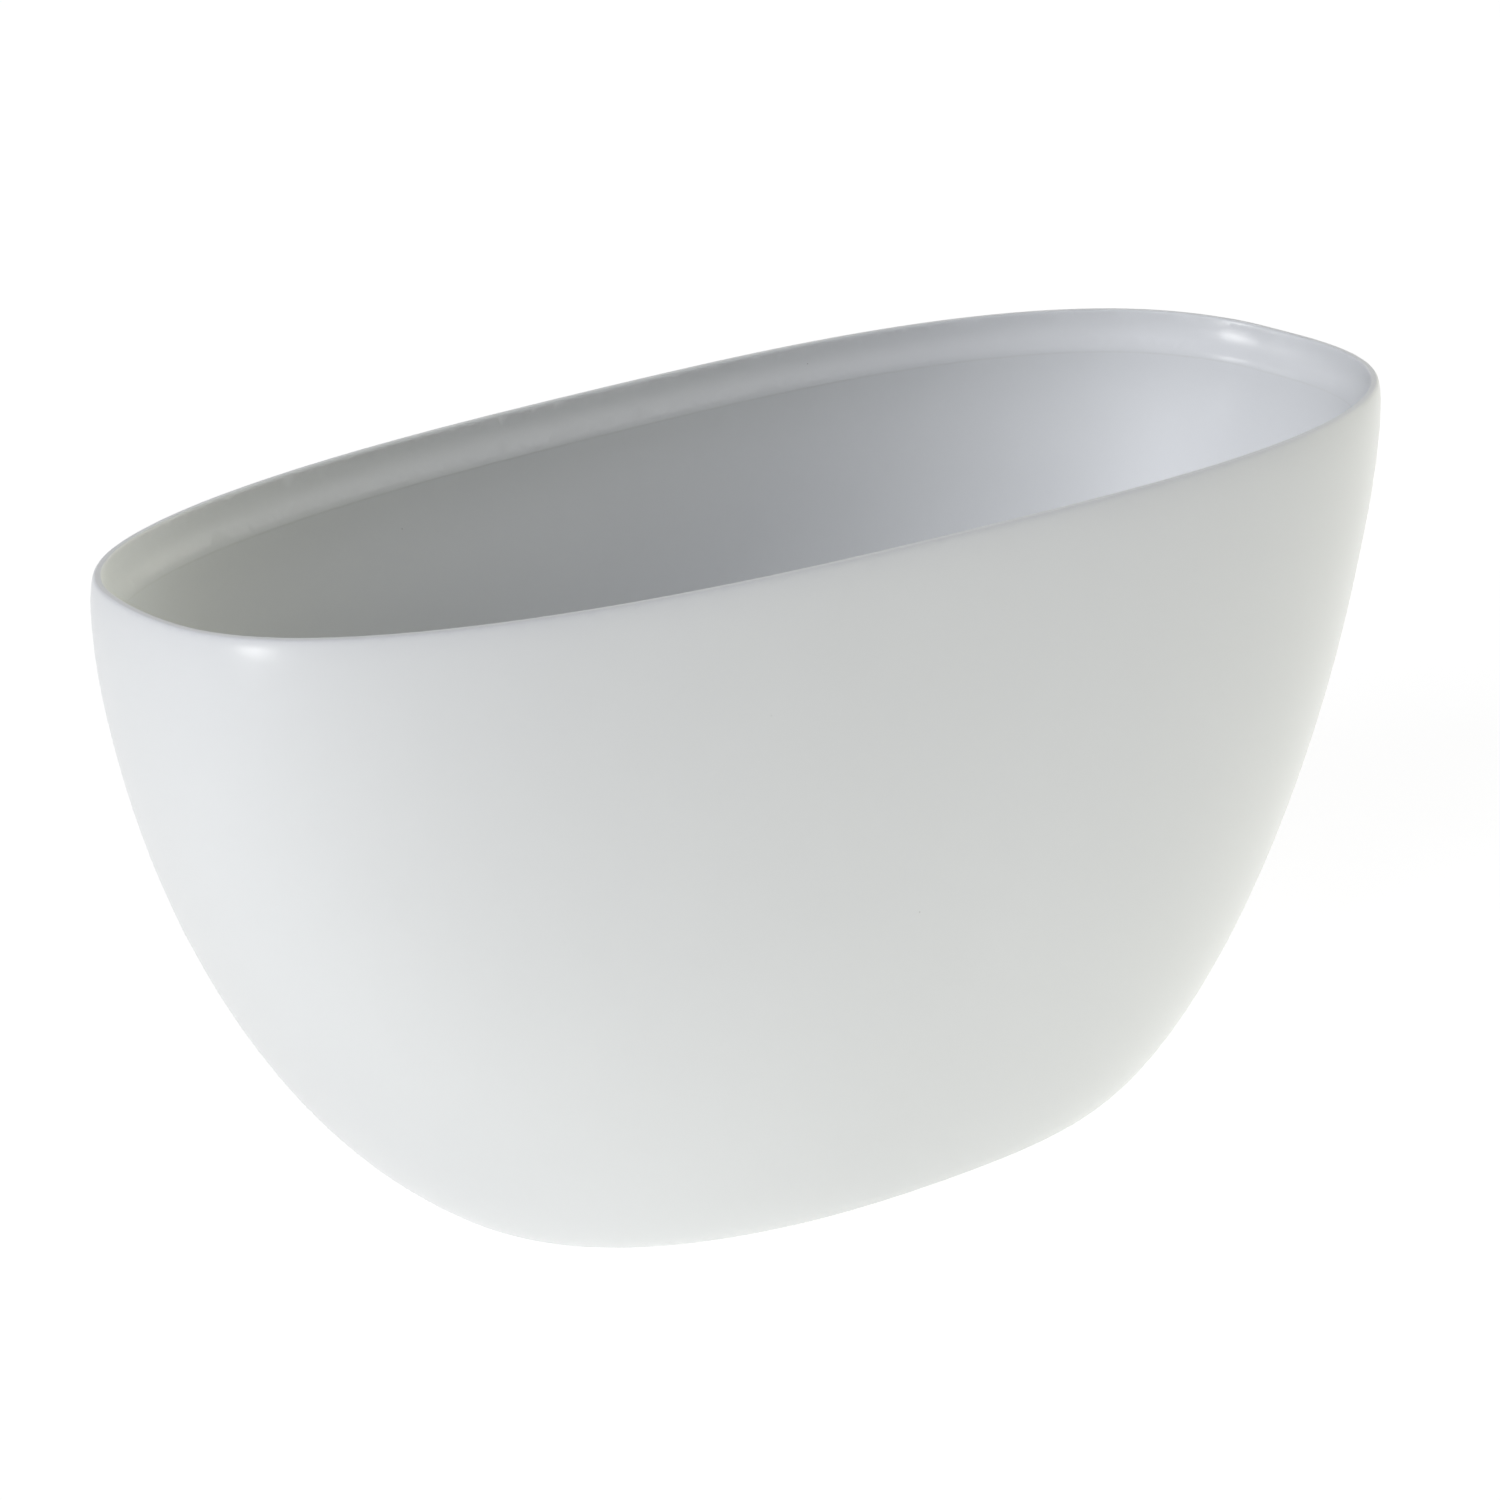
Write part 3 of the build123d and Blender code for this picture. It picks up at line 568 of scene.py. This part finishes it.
def make_brass():
    material, shade = new_finish("turned_brass")
    place = place_on_piece(shade)
    tarnish = noise(place, 90.0, 4.0)
    settings = {"wave_type": "BANDS", "bands_direction": "Z"}
    rings = shade.node("ShaderNodeTexWave", settings, {"Vector": place, "Scale": 420.0, "Distortion": 0.4})
    coat(
        shade,
        base_color=blend(tarnish * tarnish * 1.6, BRASS_BRIGHT, BRASS_BROWN),
        metallic=1.0,
        roughness=0.20 + 0.22 * tarnish,
        normal=relief(rings, 0.00004),
    )
    return material


wear(make_brass(), "plug_stem", "plug_cartridge")

# %% [markdown]
# ## Black rubber
# Seals and foot pads are moulded rubber: nearly black, dull, with a fine grain from the mould and a pale bloom that
# gathers in blotches.

# %% Rubber
RUBBER_BLACK = (0.022, 0.022, 0.024, 1.0)
RUBBER_BLOOM = (0.070, 0.070, 0.072, 1.0)
CORNERS = ("head_left", "head_right", "foot_left", "foot_right")


def make_rubber():
    material, shade = new_finish("black_rubber")
    place = place_on_piece(shade)
    bloom = noise(place, 60.0, 5.0)
    grain = noise(place, 1500.0, 2.0)
    coat(
        shade,
        base_color=blend(bloom * bloom, RUBBER_BLACK, RUBBER_BLOOM),
        roughness=0.58 + 0.22 * bloom,
        normal=relief(grain, 0.00012),
    )
    return material


seals = ("waste_seal_upper", "waste_seal_lower", "plug_seal", "trap_washer", "trap_cap_seal", "overflow_seal")
pads = ["leveller_pad_" + corner for corner in CORNERS]
wear(make_rubber(), *seals, *pads)

# %% [markdown]
# ## Zinc on steel
# The leg channels, nuts, screws, studs and hose clips are zinc plated. Hot zinc freezes into crystals, each with its
# own brightness, which the colour cells of a Voronoi pattern show well. A little cloudiness on top keeps the cells
# from looking like tiles.

# %% Zinc
ZINC_BRIGHT = (0.66, 0.675, 0.70, 1.0)
ZINC_DULL = (0.42, 0.43, 0.44, 1.0)


def make_zinc():
    material, shade = new_finish("zinc_plate")
    place = place_on_piece(shade)
    crystal = part_of(cells(place, 160.0, "Color"), "X")
    cloud = noise(place, 35.0, 4.0)
    brightness = 0.55 * crystal + 0.45 * cloud
    coat(
        shade,
        base_color=blend(brightness, ZINC_DULL, ZINC_BRIGHT),
        metallic=1.0,
        roughness=0.50 - 0.20 * crystal + 0.10 * cloud,
        normal=relief(noise(place, 900.0), 0.00003),
    )
    return material


zinc = make_zinc()
wear(zinc, "leg_channel_head", "leg_channel_foot", "weld_nuts", "lock_nuts", "hose_clips", "leg_screws")
studs = ["leveller_stud_" + corner for corner in CORNERS]
wear(zinc, *studs)

# %% [markdown]
# ## Birch plywood
# The well's floor rests on a board of birch ply. Its plies cross each other, so on the sawn edge pale long grain
# takes turns with brown end grain, and on the faces the figure runs one way. Counting plies from the underside by
# height gives both at once: the count decides which way the grain is drawn out and how dark it is.

# %% Plywood
BIRCH_PALE = (0.68, 0.53, 0.34, 1.0)
BIRCH_DEEP = (0.52, 0.37, 0.20, 1.0)
END_GRAIN = (0.34, 0.22, 0.11, 1.0)
PLY = 0.0016


def make_birch():
    material, shade = new_finish("birch_ply")
    place = place_on_piece(shade)
    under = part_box("base_board")[0].z
    turns = (part_of(place, "Z") - under) * (0.5 / PLY)
    crossed = shade.sum("FRACT", turns) > 0.5
    along = noise(stretched(place, (0.06, 1.0, 1.0)), 220.0, 4.0)
    across = noise(stretched(place, (1.0, 0.06, 1.0)), 220.0, 4.0)
    grain = along * (1 - crossed) + across * crossed
    long_grain = blend(grain, BIRCH_DEEP, BIRCH_PALE)
    coat(
        shade,
        base_color=blend(crossed * 0.6, long_grain, END_GRAIN),
        roughness=0.55 + 0.2 * grain,
        normal=relief(grain, 0.00025),
    )
    return material


wear(make_birch(), "base_board")

# %% [markdown]
# ## Moulded white pipe
# Trap, waste cup and overflow cup are injection moulded. The plastic is a shade greyer than the tub, and the mould
# is spark eroded, which leaves an even fine grain. Where the melt flowed slowly it is a little shinier.

# %% Pipe plastic
PIPE_WHITE = (0.77, 0.78, 0.77, 1.0)
PIPE_GREY = (0.70, 0.71, 0.71, 1.0)


def make_pipe_plastic():
    material, shade = new_finish("moulded_white")
    place = place_on_piece(shade)
    flow = noise(stretched(place, (1.0, 1.0, 0.4)), 26.0, 3.0)
    coat(
        shade,
        base_color=blend(flow, PIPE_GREY, PIPE_WHITE),
        roughness=0.32 + 0.2 * flow,
        normal=relief(noise(place, 1400.0), 0.00006),
    )
    return material


wear(make_pipe_plastic(), "trap_body", "trap_union_nut", "trap_cap", "waste_body", "overflow_body")

# %% [markdown]
# ## Hose plastic
# The overflow hose is blown from soft grey polythene. It is dull, a little uneven in tone where the wall is thinner,
# and dust clings to it in patches, which only takes away the last of its sheen.

# %% Hose plastic
HOSE_GREY = (0.36, 0.37, 0.38, 1.0)
HOSE_PALE = (0.45, 0.46, 0.47, 1.0)


def make_hose_plastic():
    material, shade = new_finish("grey_polythene")
    place = place_on_piece(shade)
    dust = noise(place, 40.0, 4.0)
    coat(
        shade,
        base_color=blend(dust, HOSE_GREY, HOSE_PALE),
        roughness=0.38 + 0.3 * dust,
        normal=relief(noise(place, 1100.0), 0.00005),
    )
    return material


hose_plastic = make_hose_plastic()
wear(hose_plastic, "overflow_hose")

# %% [markdown]
# ## Small parts from stacked rings
# A thread, a nut and a ribbed hose have one thing in common: cut across, each is a closed ring. Such a part can be
# built as a pile of rings with a skin between neighbours. The ring's radius may change around the turn, which makes a
# hexagon or a star, and from ring to ring, which makes a chamfer, a rib or a thread. A thread modelled this way
# catches the light on every flank, which a painted pattern on a plain rod doesn't.

# %% Rings
FACE_SHARE = 0.48
UNCUT = 1.0


def ring(radius_at, height, count):
    """A closed ring of points around +Z. radius_at takes the turn and gives the radius."""
    turns = [2 * pi * k / count for k in range(count)]
    return [Vector((radius_at(turn) * cos(turn), radius_at(turn) * sin(turn), height)) for turn in turns]


def circle(radius, height, count):
    return ring(lambda turn: radius, height, count)


def hexagon(flats, height, count, limit):
    """A hexagon with a corner on +X, its corners cut back to a circle."""
    return ring(lambda turn: min(flats / 2 / cos(turn % (pi / 3) - pi / 6), limit), height, count)


def hexagon_bar(flats, bottom, top, count):
    """Rings of a hexagon bar with chamfered corners."""
    face = FACE_SHARE * flats
    corner = flats / 2 / cos(pi / 6)
    rise = (corner - face) * tan(pi / 6)
    lower = [(bottom, face), (bottom + rise / 2, (face + corner) / 2), (bottom + rise, corner)]
    upper = [(top - rise, corner), (top - rise / 2, (face + corner) / 2), (top, face)]
    return [hexagon(flats, height, count, limit) for height, limit in lower + upper]


print("rings ready")

# %% [markdown]
# ## Skins and pieces
# A skin joins each ring to the next with four-sided faces. A closed pile runs back into its first ring, as the
# outside of a nut does by way of its bore, and an open one gets flat caps. The finished piece takes the place of a
# plain CAD node: it rides on the same body, so that it moves with it, and it names the slot that its finish fills.

# %% Skins and pieces
SHARP_EDGE = radians(32)


def skin(rings, matrix, closed):
    """Points and faces over a pile of rings. A closed pile runs back into its first ring; others get end caps."""
    count = len(rings[0])
    points = [matrix @ point for loop in rings for point in loop]
    pairs = [(k, k + 1) for k in range(len(rings) - 1)]
    if closed:
        pairs.append((len(rings) - 1, 0))
    faces = []
    for lower, upper in pairs:
        for k in range(count):
            after = (k + 1) % count
            faces.append((lower * count + k, lower * count + after, upper * count + after, upper * count + k))
    if not closed:
        faces.append(tuple(reversed(range(count))))
        faces.append(tuple(range(len(points) - count, len(points))))
    return points, faces


def add_piece(name, skins, body, stands_for, finish):
    """One piece from several skins. It rides on a body and is shown in place of a CAD node."""
    points, faces = [], []
    for skin_points, skin_faces in skins:
        start = len(points)
        points += skin_points
        faces += [tuple(start + corner for corner in face) for face in skin_faces]
    mesh = bpy.data.meshes.new(name)
    mesh.from_pydata(points, [], faces)
    mesh.shade_smooth()
    mesh.set_sharp_from_angle(angle=SHARP_EDGE)
    mesh.materials.append(finish)
    piece = bpy.data.objects.new(name, mesh)
    bpy.context.collection.objects.link(piece)
    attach(piece, body)
    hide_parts(stands_for)
    print(name, "for", stands_for, "with", len(faces), "faces")


print("skins ready")

# %% [markdown]
# ## Threaded feet
# Each foot stands on an M12 stud with a spanner hexagon above the pad. The thread has its standard pitch of 1.75 mm:
# the radius climbs from root to crest and back once for every turn, and the start of the climb shifts with the angle,
# which winds it into a right-hand helix. Crests are flattened a little, as rolled threads are, and the upper end is
# tapered so that a nut finds its start.

# %% Threaded feet
THREAD_PITCH = 0.00175
THREAD_CREST = 0.006
THREAD_ROOT = 0.0051
THREAD_TAPER = 0.0012
ROOT_FLAT = 0.2
CREST_FLAT = 0.2
RINGS_PER_TURN = 6
STUD_SIDES = 24
STUD_HEX = 0.014
STUD_HEX_HEIGHT = 0.008


def thread_radius(turn, height, top):
    """The thread's radius at a turn and height, with its upper end tapered."""
    phase = (height / THREAD_PITCH - turn / (2 * pi)) % 1.0
    climb = (abs(2 * phase - 1) - ROOT_FLAT) / (1 - ROOT_FLAT - CREST_FLAT)
    full = THREAD_ROOT + (THREAD_CREST - THREAD_ROOT) * min(max(climb, 0), 1)
    return min(full, THREAD_CREST - max(0, height - top + THREAD_TAPER))


def thread_rings(bottom, top):
    steps = int((top - bottom) / THREAD_PITCH * RINGS_PER_TURN)
    heights = [bottom + (top - bottom) * k / steps for k in range(steps + 1)]
    return [ring(lambda turn: thread_radius(turn, height, top), height, STUD_SIDES) for height in heights]


def foot_axis(corner):
    """Moves a part made around +Z onto the axis of a foot."""
    low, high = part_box("leveller_stud_" + corner)
    return Matrix.Translation(Vector(((low.x + high.x) / 2, (low.y + high.y) / 2, 0)))


for corner in CORNERS:
    low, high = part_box("leveller_stud_" + corner)
    pad_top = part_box("leveller_pad_" + corner)[1].z
    hex_top = pad_top + STUD_HEX_HEIGHT
    stud = [circle(THREAD_CREST, low.z, STUD_SIDES), circle(THREAD_CREST, pad_top, STUD_SIDES)]
    stud += hexagon_bar(STUD_HEX, pad_top, hex_top, STUD_SIDES)
    stud += thread_rings(hex_top, high.z)
    skins = [skin(stud, foot_axis(corner), closed=False)]
    stands_for = "leveller_stud_" + corner
    add_piece("threaded_foot_" + corner, skins, "leveller_" + corner, stands_for, zinc)

# %% [markdown]
# ## Nuts
# Over each foot a nut is welded under the channel, and a thinner one below it locks the setting. A nut is turned
# before it is cut, so its corners end in the arcs of a 30 degree chamfer, and its bore is countersunk on both sides.

# %% Nuts
NUT_FLATS = 0.019
NUT_BORE = 0.00605
COUNTERSINK = 0.0006
FINE_SIDES = 48


def nut(bottom, top, matrix):
    """Up the outside of a nut and back down its bore."""
    mouth = NUT_BORE + COUNTERSINK
    rings = hexagon_bar(NUT_FLATS, bottom, top, FINE_SIDES)
    rings += [circle(mouth, top, FINE_SIDES), circle(NUT_BORE, top - COUNTERSINK, FINE_SIDES)]
    rings += [circle(NUT_BORE, bottom + COUNTERSINK, FINE_SIDES), circle(mouth, bottom, FINE_SIDES)]
    return skin(rings, matrix, closed=True)


for name in ("weld_nuts", "lock_nuts"):
    low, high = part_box(name)
    nuts = [nut(low.z, high.z, foot_axis(corner)) for corner in CORNERS]
    add_piece("chamfered_" + name, nuts, "tub", name, zinc)

# %% [markdown]
# ## Screws under the board
# Eight pan-head screws hold the channels to the board, driven from below with a six-lobed key. A screw is a single
# line turned around an axis: up the inside of the drive, over the head and along the shank. Only the rings of the
# drive aren't round.

# %% Screws under the board
SCREW_HEAD = 0.00475
SCREW_HEAD_DEPTH = 0.003
SCREW_SHANK = 0.0025
HEAD_ROUND = 0.0015
ROUND_STEPS = 5
LOBES = 6
LOBE_MIDDLE = 0.0018
LOBE_SWING = 0.00032
DRIVE_DEPTH = 0.0013

quarter = [pi / 2 * k / ROUND_STEPS for k in range(ROUND_STEPS + 1)]


def star(height):
    return ring(lambda turn: LOBE_MIDDLE + LOBE_SWING * cos(LOBES * turn), height, FINE_SIDES)


def pan_screw(bottom, top, matrix):
    """A screw whose head looks down and is rounded below."""
    seat = bottom + SCREW_HEAD_DEPTH
    rings = [star(bottom + DRIVE_DEPTH), star(bottom)]
    for angle in quarter:
        radius = SCREW_HEAD - HEAD_ROUND * (1 - sin(angle))
        rings.append(circle(radius, bottom + HEAD_ROUND * (1 - cos(angle)), FINE_SIDES))
    rings.append(circle(SCREW_HEAD, seat, FINE_SIDES))
    rings += [circle(SCREW_SHANK, seat, FINE_SIDES), circle(SCREW_SHANK, top, FINE_SIDES)]
    return skin(rings, matrix, closed=False)


low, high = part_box("leg_screws")
screws = []
for x in (low.x + SCREW_HEAD, high.x - SCREW_HEAD):
    for share in (-1, -1 / 3, 1 / 3, 1):
        y = share * (high.y - SCREW_HEAD)
        screws.append(pan_screw(low.z, high.z, Matrix.Translation(Vector((x, y, 0)))))
add_piece("star_screws", screws, "tub", "leg_screws", zinc)

# %% [markdown]
# ## The screw of the overflow cover
# One button-head screw with a hexagon socket holds the overflow cover. It is built the other way up, from the end of
# its shank to the bottom of its socket, and is then tilted with the wall of the well.

# %% Cover screw
OVERFLOW_SPOT = Vector((0, -0.264889, 0.5))
OVERFLOW_OUT = Vector((0, 0.979363, 0.202108))
COVER_DEPTH = 0.010
COVER_SCREW_HEAD = 0.005
COVER_SCREW_HEIGHT = 0.0025
COVER_SCREW_END = -0.0255
SOCKET_FLATS = 0.003
SOCKET_DEPTH = 0.0014


def button_screw(matrix):
    """A screw whose head looks along the matrix's +Z and is rounded there."""
    crown = COVER_DEPTH + COVER_SCREW_HEIGHT
    rings = [circle(SCREW_SHANK, COVER_SCREW_END, FINE_SIDES), circle(SCREW_SHANK, COVER_DEPTH, FINE_SIDES)]
    rings.append(circle(COVER_SCREW_HEAD, COVER_DEPTH, FINE_SIDES))
    for angle in quarter:
        radius = COVER_SCREW_HEAD - HEAD_ROUND * (1 - cos(angle))
        rings.append(circle(radius, crown - HEAD_ROUND * (1 - sin(angle)), FINE_SIDES))
    for height in (crown, crown - SOCKET_DEPTH):
        rings.append(hexagon(SOCKET_FLATS, height, FINE_SIDES, UNCUT))
    return skin(rings, matrix, closed=False)


across = Vector((-1, 0, 0))
turned = Matrix((across, OVERFLOW_OUT.cross(across), OVERFLOW_OUT)).transposed().to_4x4()
on_cover = Matrix.Translation(OVERFLOW_SPOT) @ turned
add_piece("socket_screw", [button_screw(on_cover)], "tub", "overflow_screw", chrome)

# %% [markdown]
# ## Ribbed hose
# A hose that has to bend without kinking is corrugated. Its route is two straight runs joined by a true arc, from the
# overflow cup down the back of the well and along to the waste. The rings are threaded on that route, square to it,
# and their radius swells once for every rib. Both ends stay plain for the length of a cuff, where the clips grip.

# %% Ribbed hose
HOSE_START = Vector((0, -0.27769, 0.4606))
HOSE_CORNER = Vector((0, -0.202655, 0.097))
HOSE_END = Vector((0, -0.0351, 0.097))
HOSE_BEND = 0.090
HOSE_CREST = 0.01198
HOSE_VALLEY = 0.0107
HOSE_BORE = 0.010
HOSE_CUFF = 0.024
HOSE_SIDES = 32
RIB_PITCH = 0.0042
RIB_FULLNESS = 0.7
OUTSIDE_STEPS = 720
BORE_STEPS = 80

down = (HOSE_CORNER - HOSE_START).normalized()
along = (HOSE_END - HOSE_CORNER).normalized()
bend_angle = down.angle(along)
bend_axis = down.cross(along).normalized()
bend_from = HOSE_CORNER - down * HOSE_BEND * tan(bend_angle / 2)
bend_centre = bend_from + bend_axis.cross(down) * HOSE_BEND
first_run = (bend_from - HOSE_START).length
bend_run = HOSE_BEND * bend_angle
cut_corner = (HOSE_CORNER - HOSE_START).length - first_run
last_run = (HOSE_END - HOSE_CORNER).length - cut_corner
hose_length = first_run + bend_run + last_run


def hose_frame(run):
    """Place and direction on the route, as a matrix with +Z along the hose."""
    angle = min(max((run - first_run) / HOSE_BEND, 0), bend_angle)
    turn = Quaternion(bend_axis, angle)
    heading = turn @ down
    place = bend_centre + turn @ (bend_from - bend_centre)
    place = place + heading * (min(run - first_run, 0) + max(run - first_run - bend_run, 0))
    side = Vector((1, 0, 0))
    facing_out = Matrix((side, heading.cross(side), heading)).transposed().to_4x4()
    return Matrix.Translation(place) @ facing_out


def rib_radius(run):
    """The outer radius along the hose: whole ribs between two plain cuffs."""
    ribbed = hose_length - 2 * HOSE_CUFF
    pitch = ribbed / round(ribbed / RIB_PITCH)
    inside = min(max(run - HOSE_CUFF, 0), ribbed)
    swell = 0.5 + 0.5 * cos(2 * pi * inside / pitch)
    return HOSE_VALLEY + (HOSE_CREST - HOSE_VALLEY) * swell**RIB_FULLNESS


def hose_ring(radius, run):
    matrix = hose_frame(run)
    return [matrix @ point for point in circle(radius, 0, HOSE_SIDES)]


outside = [hose_length * k / OUTSIDE_STEPS for k in range(OUTSIDE_STEPS + 1)]
bore = [hose_length * k / BORE_STEPS for k in range(BORE_STEPS + 1)]
hose_rings = [hose_ring(rib_radius(run), run) for run in outside]
hose_rings += [hose_ring(HOSE_BORE, run) for run in reversed(bore)]
hose_skin = skin(hose_rings, Matrix(), closed=True)
add_piece("ribbed_hose", [hose_skin], "tub", "overflow_hose", hose_plastic)
print("hose length", round(hose_length, 3))

# %% [markdown]
# ## Last lines
# The picture is shown with plain Standard colours, because a filmic curve would grey the whites. At the end the
# scene's bounds are measured in the same way as the imported model's.

# %% Size and finish
bpy.context.scene.view_settings.view_transform = "Standard"
low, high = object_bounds()
